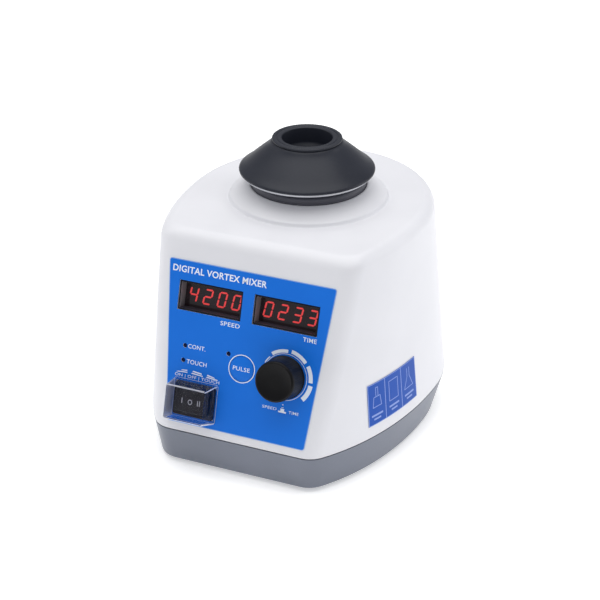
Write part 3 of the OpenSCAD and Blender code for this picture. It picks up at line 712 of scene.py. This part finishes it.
def flat_marks(name, outlines):
    """Small printed shapes, each drawn as one face."""
    shape = bmesh.new()
    for outline in outlines:
        shape.faces.new([shape.verts.new((px, ps, ink_n)) for px, ps in outline])
    piece = drawn(name, shape)
    on_panel(piece)
    return ink(piece)


flat_marks("switch_pictures", [
    [(-0.0353, 0.0303), (-0.0289, 0.0307), (-0.0290, 0.0312), (-0.0340, 0.0308)],
    [(-0.0327, 0.0314), (-0.0290, 0.0317), (-0.0292, 0.0322), (-0.0318, 0.0319)],
    [(-0.0269, 0.0307), (-0.0203, 0.0303), (-0.0203, 0.0308), (-0.0262, 0.0313)],
    [(-0.0262, 0.0318), (-0.0210, 0.0312), (-0.0211, 0.0319), (-0.0258, 0.0324)],
    [(-0.0185, 0.0303), (-0.0119, 0.0299), (-0.0122, 0.0304), (-0.0181, 0.0309)],
    [(-0.0181, 0.0313), (-0.0135, 0.0307), (-0.0142, 0.0312), (-0.0178, 0.0320)],
    [(0.0221, 0.0211), (0.0263, 0.0211), (0.0263, 0.0219), (0.0252, 0.0219), (0.0252, 0.0232),
     (0.0232, 0.0232), (0.0232, 0.0219), (0.0221, 0.0219)],
    [(0.0236, 0.0237), (0.0248, 0.0237), (0.0248, 0.0239), (0.0236, 0.0239)],
    [(0.0238, 0.0250), (0.0246, 0.0250), (0.0242, 0.0257)]])


# ------------------------------------------------------------------------------
# Displays: two red four-digit modules. A black case with a thin rim drops into each window, its
# sloping seven-segment digits lie at the bottom of a deep recess and light the walls a little. The
# recess walls are also painted lighter than the case, as painted glow from the digits: grey at the
# sides, dimmer at the top and bottom.
# ------------------------------------------------------------------------------
case_black = finish("display_case", (0.005, 0.005, 0.008), (0.008, 0.008, 0.012), 0.4, 0.52, 1500, 0.1,
                    Specular_IOR_Level=0.2)
# Painted glow: the recess walls get lighter copies of the black case, the side walls grey and the top and
# bottom walls dimmer.
case_wall_painted_glow = finish("display_wall_painted_glow", (0.200, 0.190, 0.205), (0.240, 0.226, 0.240), 0.35, 0.5, 900, 0.15)
case_sill_painted_glow = finish("display_sill_painted_glow", (0.030, 0.026, 0.038), (0.042, 0.036, 0.050), 0.35, 0.5, 900, 0.15)
case_floor = finish("display_floor", (0.014, 0.008, 0.011), (0.024, 0.011, 0.015), 0.10, 0.16, 500, 0.02,
                    Coat_Weight=0.3, Coat_Roughness=0.05)
lit_red = finish("lit_red", (0.45, 0.02, 0.02), (0.50, 0.03, 0.03), 0.4, 0.5, 1500, 0.02,
                 Emission_Color=(1.0, 0.07, 0.075, 1), Emission_Strength=0.5)
segment_ends = {"a": (0, 1, 0), "b": (1, 0.5, 1), "c": (1, -0.5, 1), "d": (0, -1, 0), "e": (-1, -0.5, 1),
                "f": (-1, 0.5, 1), "g": (0, 0, 0)}
lit_segments = {"0": "abcdef", "2": "abged", "3": "abgcd", "4": "fgbc"}
digit_wide, digit_tall, stroke_wide, slope = 0.0039, 0.0073, 0.00082, math.tan(math.radians(9))
digit_pitch, recess_n = 0.0079, -0.0060
for display_name, digit_name, shown, window_x in (("speed_display", "speed_digits", "4200", window_places[0]),
                                                  ("time_display", "time_digits", "0233", window_places[1])):
    half_w, half_l = 0.01715, 0.0073
    case = panel_block(display_name + "_case", window_x, window_s, half_w, half_l, -0.0104, -0.0002)
    pick(case, lambda f: f.normal.z > 0.9)
    bpy.ops.mesh.inset(thickness=0.0007, depth=0)
    bpy.ops.mesh.extrude_region_move(TRANSFORM_OT_translate={"value": (0, 0, recess_n + 0.0002)})
    close_edit()
    for paint in (case_black, case_wall_painted_glow, case_floor, case_sill_painted_glow):
        case.data.materials.append(paint)
    # Sorts the faces: the recess floor, the side walls (painted glow, grey) and the top and bottom walls
    # (painted glow, dimmer).
    for face in case.data.polygons:
        middle = face.center
        inside = abs(middle.x - window_x) < half_w - 0.0005 and abs(middle.y - window_s) < half_l - 0.0005
        if face.normal.z > 0.9 and abs(middle.z - recess_n) < 0.0001:
            face.material_index = 2
        elif inside and abs(face.normal.z) < 0.1 and middle.z > recess_n:
            face.material_index = 1 if abs(face.normal.x) > 0.9 else 3
    ease_edges(case, lambda e: all(v.co.z > -0.0003 for v in e.verts), 0.00012, 2)
    on_panel(case)
    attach(case, "chassis")
    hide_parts(display_name)
    shape = bmesh.new()
    for place, figure in enumerate(shown):
        middle_x = window_x + (place - 1.5) * digit_pitch
        for bar in lit_segments[figure]:
            bar_x, bar_y, upright = segment_ends[bar]
            half = (digit_tall / 4 if upright else digit_wide / 2) - 0.00012
            thick = stroke_wide / 2
            outline = [(-half, 0), (-half + thick, -thick), (half - thick, -thick), (half, 0),
                       (half - thick, thick), (-half + thick, thick)]
            corners = []
            for along, across in outline:
                px = bar_x * digit_wide / 2 + (across if upright else along)
                py = bar_y * digit_tall / 2 + (along if upright else across)
                corners.append((middle_x + px + py * slope, window_s + py))
            low = [shape.verts.new((cx, cy, recess_n + 0.00002)) for cx, cy in corners]
            high = [shape.verts.new((cx, cy, recess_n + 0.00022)) for cx, cy in corners]
            shape.faces.new(high)
            shape.faces.new(list(reversed(low)))
            for k in range(6):
                shape.faces.new((low[k], low[(k + 1) % 6], high[(k + 1) % 6], high[k]))
    figures = drawn(digit_name + "_lit", shape)
    outward(figures)
    on_panel(figures)
    coat(figures, lit_red)
    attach(figures, "chassis")
    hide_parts(digit_name)


# ------------------------------------------------------------------------------
# Indicator lamps: three 2 mm lamps, unlit, whose domed dark lenses sit just inside their holes.
# ------------------------------------------------------------------------------
dark_lens = finish("dark_lens", (0.002, 0.007, 0.045), (0.003, 0.010, 0.060), 0.3, 0.4, 600, 0.03,
                   Specular_IOR_Level=0.1)
for lamp_number, (lamp_x, lamp_s) in enumerate(lamp_places):
    lamp = turned("indicator_lamp_%d" % (lamp_number + 1), (lamp_x, lamp_s), [
        (0.0, -0.0104), (0.0017, -0.0104), (0.0017, -0.0094), (0.0011, -0.0094), (0.0011, -0.0006),
        (0.00105, -0.0004), (0.0008, -0.00025), (0.0, -0.0002)], 32, closed=False)
    on_panel(lamp)
    smooth(lamp, 35, even=False)
    coat(lamp, dark_lens)
    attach(lamp, "chassis")
    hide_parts("indicator_leds")


# ------------------------------------------------------------------------------
# Knob: a black moulding that tapers a little to a dished face with a fine raised lip, with shallow
# flutes to grip. It is pushed on the encoder's spindle, turns for ever and clicks in when pushed.
# ------------------------------------------------------------------------------
knob = turned("control_knob", (knob_x, knob_s), [
    (0.0030, 0.0065), (0.0066, 0.0065), (0.0066, 0.0012), (0.0108, 0.0012), (0.0110, 0.0014),
    (0.0110, 0.0020), (0.01065, 0.0023), (0.01062, 0.0028), (0.01035, 0.0120), (0.0103, 0.0128),
    (0.0101, 0.0134), (0.0097, 0.0138), (0.0092, 0.0140), (0.0088, 0.0139), (0.0085, 0.0137),
    (0.0030, 0.0135), (0.0, 0.0135), (0.0, 0.0115), (0.0030, 0.0115)], 240)
for point in knob.data.vertices:
    away = Vector((point.co.x - knob_x, point.co.y - knob_s))
    if 0.0024 < point.co.z < 0.0130 and away.length > 0.009:
        turn = math.atan2(away.y, away.x) * 60
        away *= 1 - 0.00012 * (0.5 + 0.5 * math.cos(turn)) / away.length
        point.co.x, point.co.y = knob_x + away.x, knob_s + away.y
on_panel(knob)
smooth(knob, 35, even=False)
knob_black = finish("knob_black", (0.0040, 0.0040, 0.0045), (0.0060, 0.0060, 0.0068), 0.34, 0.48, 1500, 0.15,
                    Specular_IOR_Level=0.13)
coat(knob, knob_black)
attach(knob, "knob")
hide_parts("knob")


# ------------------------------------------------------------------------------
# Pulse key: a round blue cap flush with the overlay, its word printed on it, on a short stem.
# ------------------------------------------------------------------------------
key = turned("pulse_key_cap", (key_x, key_s), [
    (0.0, -0.0046), (0.0016, -0.0046), (0.0016, -0.0026), (0.0064, -0.0026), (0.0064, 0.0002),
    (0.00632, 0.0004), (0.0061, 0.0005), (0.0, 0.0005)], 96, closed=False)
on_panel(key)
smooth(key, 35, even=False)
coat(key, blue_print)
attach(key, "pulse_key")
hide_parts("pulse_button")
pulse_word = lettering("PULSE", -0.0045, 0.0047, 0.0375, 0.0396, n=0.00052, weight=0.004)
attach(pulse_word, "pulse_key")


# ------------------------------------------------------------------------------
# Rocker switch: a snap-in three-position switch. The frame and the rocker are black mouldings; the
# rocker has two dished halves, a flat middle and pale marks for its positions.
# ------------------------------------------------------------------------------
frame_body = panel_block("switch_frame", rock_x, rock_s, 0.0110, 0.0085, 0.00002, 0.0020)
ease_edges(frame_body, stands, 0.0014, 6)
ease_edges(frame_body, rim_above(0.0019), 0.0006, 4)
cut_away(frame_body, panel_block("neck", rock_x, rock_s, 0.00975, 0.0068, -0.016, 0.0010), "UNION")
cut_away(frame_body, panel_block("well", rock_x, rock_s, 0.00915, 0.0062, -0.0070, 0.0130))
on_panel(frame_body)
smooth(frame_body, 30)
switch_black = finish("switch_black", (0.010, 0.009, 0.013), (0.015, 0.014, 0.018), 0.3, 0.42, 1300, 0.15,
                      Specular_IOR_Level=0.3)
coat(frame_body, switch_black)
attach(frame_body, "chassis")
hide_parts("rocker_frame")

rocker_half, rocker_top, flat_half, dish_deep = 0.0088, 0.0050, 0.0026, 0.0011


def dish(across):
    """How far the rocker's top lies below its flat middle, at a distance from the middle."""
    if across <= flat_half:
        return 0.0
    return dish_deep * math.sin(math.pi * min((across - flat_half) / 0.0062, 1) * 0.62) ** 1.2


rocker = panel_block("rocker_key", rock_x, rock_s, rocker_half, 0.00575, -0.0012, rocker_top)
bpy.ops.object.mode_set(mode="EDIT")
for cut in range(1, 24):
    across = rock_x - rocker_half + 2 * rocker_half * cut / 24
    bpy.ops.mesh.select_all(action="SELECT")
    bpy.ops.mesh.bisect(plane_co=(across, 0, 0), plane_no=(1, 0, 0))
close_edit()
for point in rocker.data.vertices:
    across = abs(point.co.x - rock_x)
    if point.co.z > 0.004:
        point.co.z -= dish(across)
    elif across > 0.004:
        point.co.z += (across - 0.004) * 0.42
ease_edges(rocker, lambda e: len(e.link_faces) == 2 and e.calc_face_angle(0) > math.radians(50), 0.0005, 4)
pin = turned("trunnion", (rock_x, 0.0), [
    (0.0, -0.0067), (0.0012, -0.0067), (0.0012, 0.0067), (0.0, 0.0067)], 32, closed=False)
edit_all(pin)
bpy.ops.transform.rotate(value=math.pi / 2, orient_axis="X", center_override=(rock_x, 0, 0))
bpy.ops.transform.translate(value=(0, rock_s, 0.0006))
close_edit()
outward(rocker)
cut_away(rocker, pin, "UNION")
on_panel(rocker)
smooth(rocker, 35)
rocker_paint = finish("rocker_black", (0.015, 0.014, 0.018), (0.021, 0.020, 0.025), 0.28, 0.4, 1300, 0.15,
                      Specular_IOR_Level=0.3)
coat(rocker, rocker_paint)
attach(rocker, "rocker")
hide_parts("rocker")

mark_grey = finish("mark_grey", (0.38, 0.38, 0.42), (0.44, 0.44, 0.48), 0.5, 0.6, 1800, 0.05)
for mark_number, (word, mark_x, half_wide) in enumerate((("I", -0.0284, 0.0003), ("O", -0.0236, 0.0012),
                                                         ("II", -0.0191, 0.0007))):
    mark = lettering(word, mark_x - half_wide, mark_x + half_wide, rock_s - 0.0014, rock_s + 0.0014, n=0.0,
                     weight=0.012)
    mark.name = "rocker_mark_%d" % (mark_number + 1)
    flat = panel_place.inverted()
    for point in mark.data.vertices:
        local = flat @ point.co
        local.z = rocker_top - dish(abs(local.x - rock_x)) + 0.00006
        point.co = panel_place @ local
    coat(mark, mark_grey)
    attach(mark, "rocker")


# ------------------------------------------------------------------------------
# Switch cover: a soft clear boot moulded as an open box, pressed over the frame. Its eased edges
# (but not those on the right), its foot and its left wall are given milkier, paler finishes as
# painted highlight, where the plastic catches the light.
# ------------------------------------------------------------------------------
boot_high = 0.0122
boot = panel_block("switch_boot", rock_x, rock_s, 0.0123, 0.0103, 0.00034, boot_high)
for point in boot.data.vertices:
    if point.co.z > 0.006:
        point.co.x = rock_x + (point.co.x - rock_x) * 0.900
        point.co.y = rock_s + (point.co.y - rock_s) * 0.870
ease_edges(boot, stands, 0.0013, 6)
ease_edges(boot, rim_above(boot_high - 0.0001), 0.0006, 5)
pick(boot, lambda f: f.normal.z < -0.9)
bpy.ops.mesh.delete(type="FACE")
close_edit()
hollow(boot, 0.0009)
on_panel(boot)
smooth(boot, 35)
clear_boot = finish("clear_boot", (0.90, 0.91, 0.96), (0.93, 0.94, 0.98), 0.05, 0.12, 700, 0.04,
                    Transmission_Weight=1.0, IOR=1.12, Specular_IOR_Level=0.35)
# Painted highlight: a milkier, paler copy of the clear finish for the eased edges and the left wall.
boot_edge_painted_highlight = finish("boot_edge_painted_highlight", (0.82, 0.83, 0.90), (0.88, 0.89, 0.95), 0.2, 0.35, 700, 0.04,
                   Transmission_Weight=0.5, IOR=1.40)
coat(boot, clear_boot)
boot.data.materials.append(boot_edge_painted_highlight)
# Painted highlight: a paler, nearly opaque copy for the foot and the lower front edges, as light from the
# table.
boot_rim_painted_highlight = finish("boot_rim_painted_highlight", (0.88, 0.90, 0.97), (0.92, 0.94, 1.0), 0.2, 0.35, 700, 0.04,
                  Transmission_Weight=0.2, IOR=1.40)
boot.data.materials.append(boot_rim_painted_highlight)
to_panel = panel_place.inverted()
# Faces are sorted by direction into the painted highlights: the foot and lower front edges palest, the other
# eased edges except the right ones and the left wall milky.
for face in boot.data.polygons:
    spot, tilt = to_panel @ face.center, to_panel.to_3x3() @ face.normal
    rolled = max(abs(part) for part in tilt) < 0.965
    if spot.z < 0.0010 or (rolled and tilt.y < -0.25):
        face.material_index = 2
    elif (rolled and not (tilt.x > 0.25 and spot.x > rock_x)) or (tilt.x < -0.9 and spot.x < rock_x):
        face.material_index = 1
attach(boot, "chassis")
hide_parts("switch_cover")


# ------------------------------------------------------------------------------
# Side sticker: a printed polyester rectangle that follows the curved right side, in three panels
# divided by pale lines, each with a plain outline drawing and two short bars.
# ------------------------------------------------------------------------------
def side_point(turn, height, off):
    k = (height - part_height) / (shell_high - part_height)
    wide, front, _, middle = between(plan_part, plan_roof, k)
    normal = Vector((math.cos(turn) / wide, math.sin(turn) / front, 0)).normalized()
    return Vector((wide * math.cos(turn), middle + shift_y + front * math.sin(turn), height)) + normal * off


turn_from, turn_to, sticker_low, sticker_high = math.radians(-33.9), math.radians(-12.6), 0.028, 0.051


def on_side(u, v, off):
    turn = turn_from + (turn_to - turn_from) * u
    return side_point(turn, sticker_low + (sticker_high - sticker_low) * v, off)


def side_patch(name, low_u, high_u, low_v, high_v, off, steps=16):
    """A thin patch wrapped on the side, from fractions along and up the sticker."""
    shape = bmesh.new()
    rows = [[shape.verts.new(on_side(low_u + (high_u - low_u) * i / steps, v, off)) for i in range(steps + 1)]
            for v in (low_v, high_v)]
    for i in range(steps):
        shape.faces.new((rows[0][i], rows[0][i + 1], rows[1][i + 1], rows[1][i]))
    return drawn(name, shape)


sticker = side_patch("side_sticker", 0, 1, 0, 1, 0.00006, 32)
hollow(sticker, 0.0002, side=1)
sticker_blue = finish("sticker_blue", (0.006, 0.070, 0.400), (0.008, 0.080, 0.440), 0.4, 0.5, 1800, 0.05,
                      Specular_IOR_Level=0.22)
coat(sticker, sticker_blue)
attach(sticker, "chassis")
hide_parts("side_label")
sticker_ink = finish("sticker_ink", (0.20, 0.31, 0.68), (0.24, 0.35, 0.72), 0.4, 0.5, 1800, 0.05)


def side_ink(piece):
    coat(piece, sticker_ink)
    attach(piece, "chassis")


for line_number, (u0, u1, v0, v1) in enumerate((
        (0.325, 0.337, 0, 1), (0.660, 0.672, 0, 1), (0.0, 1.0, 0.0, 0.018), (0.0, 1.0, 0.982, 1.0),
        (0.0, 0.012, 0, 1), (0.988, 1.0, 0, 1),
        (0.06, 0.27, 0.20, 0.245), (0.10, 0.23, 0.11, 0.15), (0.40, 0.60, 0.20, 0.245),
        (0.44, 0.56, 0.11, 0.15), (0.73, 0.93, 0.20, 0.245), (0.77, 0.89, 0.11, 0.15))):
    side_ink(side_patch("sticker_line_%d" % (line_number + 1), u0, u1, v0, v1, 0.00030))


def side_stroke(name, points, width=0.009):
    """A drawn line of even width through points on the sticker."""
    shape = bmesh.new()
    aspect = 1.72
    for (u0, v0), (u1, v1) in zip(points, points[1:]):
        run = Vector(((u1 - u0) * aspect, v1 - v0))
        side = Vector((-run.y, run.x)).normalized() * width
        ends = run.normalized() * width * 0.6
        corners = [(u0 - (side.x + ends.x) / aspect, v0 - side.y - ends.y),
                   (u1 - (side.x - ends.x) / aspect, v1 - side.y + ends.y),
                   (u1 + (side.x + ends.x) / aspect, v1 + side.y + ends.y),
                   (u0 + (side.x - ends.x) / aspect, v0 + side.y - ends.y)]
        shape.faces.new([shape.verts.new(on_side(u, v, 0.00031)) for u, v in corners])
    side_ink(drawn(name, shape))


side_stroke("sticker_mixer", [(0.09, 0.42), (0.25, 0.42), (0.23, 0.66), (0.11, 0.66), (0.09, 0.42)])
side_stroke("sticker_tube", [(0.15, 0.66), (0.15, 0.88), (0.19, 0.88), (0.19, 0.66)])
side_stroke("sticker_box", [(0.41, 0.36), (0.59, 0.36), (0.59, 0.84), (0.41, 0.84), (0.41, 0.36)])
side_stroke("sticker_flask", [(0.80, 0.86), (0.80, 0.66), (0.73, 0.38), (0.92, 0.38), (0.85, 0.66),
                              (0.85, 0.86)])


# ------------------------------------------------------------------------------
# Mains inlet: a black moulded flange and shell with a recess for the lead's socket, let into the
# back and held by two countersunk screws. Three plated pins stand in the recess. No lead is fitted.
# ------------------------------------------------------------------------------
inlet_y, inlet_z = shift_y + 0.0757246, 0.046


def inlet_block(name, half_wide, half_tall, back, front, round_by=0.0):
    """A block centred on the inlet, between two depths measured from the face of the pad."""
    return box_piece(name, (-half_wide, inlet_y + back, inlet_z - half_tall),
                     (half_wide, inlet_y + front, inlet_z + half_tall), round_by)


plate = inlet_block("inlet_body", 0.025, 0.0115, 0, 0.0022)
ease_edges(plate, lambda e: abs(e.verts[0].co.y - e.verts[1].co.y) > 0.001, 0.0024, 6)
ease_edges(plate, lambda e: all(v.co.y > inlet_y + 0.0021 for v in e.verts)
           and any(abs(f.normal.y) < 0.5 for f in e.link_faces), 0.0005, 3)
cut_away(plate, inlet_block("shell", 0.0135, 0.0098, -0.021, 0.0005, 0.0006), "UNION")
socket = inlet_block("socket", 0.012, 0.0082, -0.0165, 0.01)
ease_edges(socket, lambda e: abs(e.verts[0].co.y - e.verts[1].co.y) > 0.001
           and all(v.co.z > inlet_z for v in e.verts), 0.0038, 1)
cut_away(plate, socket)
for ear_x in ear_places:
    hole = turned("ear_hole", (ear_x, 0), [(0, -0.01), (0.00175, -0.01), (0.00175, 0.0010), (0.0032, 0.0022),
                                           (0.0032, 0.004), (0, 0.004)], 40, closed=False)
    edit_all(hole)
    bpy.ops.transform.rotate(value=math.pi / 2, orient_axis="X", center_override=(ear_x, 0, 0))
    bpy.ops.transform.translate(value=(0, inlet_y, inlet_z))
    close_edit()
    outward(hole)
    cut_away(plate, hole)
smooth(plate, 30)
inlet_black = finish("inlet_black", (0.014, 0.014, 0.016), (0.021, 0.021, 0.023), 0.35, 0.5, 1300, 0.2)
coat(plate, inlet_black)
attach(plate, "chassis")
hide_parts("power_inlet")


# ------------------------------------------------------------------------------
# The rest of the mixer is shown by its own solids, each slot given its real finish: plated screws
# and plates, spun and ground steel, brass, cast iron, solder-masked boards, moulded plastics.
# ------------------------------------------------------------------------------
def metal(name, dark, light, smooth_to, rough_to, depth=0.15, grain_scale=1600):
    return finish(name, dark, light, smooth_to, rough_to, grain_scale, depth, Metallic=1.0)


slot_finishes = {
    "zinc": metal("zinc_plate", (0.42, 0.43, 0.45), (0.52, 0.53, 0.54), 0.26, 0.42),
    "dark_alu": metal("dull_aluminium", (0.24, 0.245, 0.26), (0.30, 0.305, 0.32), 0.34, 0.5),
    "bearing_steel": metal("bearing_steel", (0.50, 0.51, 0.53), (0.58, 0.59, 0.61), 0.16, 0.26),
    "hub_steel": metal("turned_steel", (0.38, 0.39, 0.41), (0.46, 0.47, 0.49), 0.24, 0.38),
    "spring_steel": metal("spring_steel", (0.36, 0.37, 0.39), (0.44, 0.45, 0.47), 0.28, 0.4),
    "motor_steel": metal("motor_steel", (0.22, 0.23, 0.25), (0.29, 0.30, 0.32), 0.34, 0.5),
    "brass_weight": metal("sawn_brass", (0.42, 0.31, 0.13), (0.52, 0.39, 0.17), 0.28, 0.46),
    "pin_brass": metal("plated_brass", (0.55, 0.50, 0.36), (0.62, 0.57, 0.42), 0.2, 0.34),
    "cast_weight": finish("cast_iron", (0.030, 0.030, 0.033), (0.050, 0.049, 0.050), 0.55, 0.75, 500, 0.6),
    "green_board": finish("solder_mask", (0.012, 0.10, 0.040), (0.018, 0.13, 0.052), 0.25, 0.38, 900, 0.1),
    "natural_plastic": finish("natural_nylon", (0.55, 0.50, 0.33), (0.62, 0.57, 0.40), 0.4, 0.55, 1100, 0.15),
    "black_plastic": finish("black_moulding", (0.014, 0.014, 0.016), (0.022, 0.022, 0.024), 0.35, 0.5, 1300,
                            0.2),
    "tape_yellow": finish("coil_tape", (0.55, 0.34, 0.03), (0.66, 0.43, 0.05), 0.3, 0.46, 400, 0.25),
    "cap_blue": finish("capacitor_sleeve", (0.015, 0.022, 0.12), (0.022, 0.032, 0.16), 0.25, 0.36, 700, 0.08),
}
for node_object in bpy.data.objects:
    for slot_place in node_object.material_slots:
        slot_name = slot_place.material.name.split(".")[0] if slot_place.material else ""
        if slot_name in slot_finishes:
            slot_place.material = slot_finishes[slot_name]
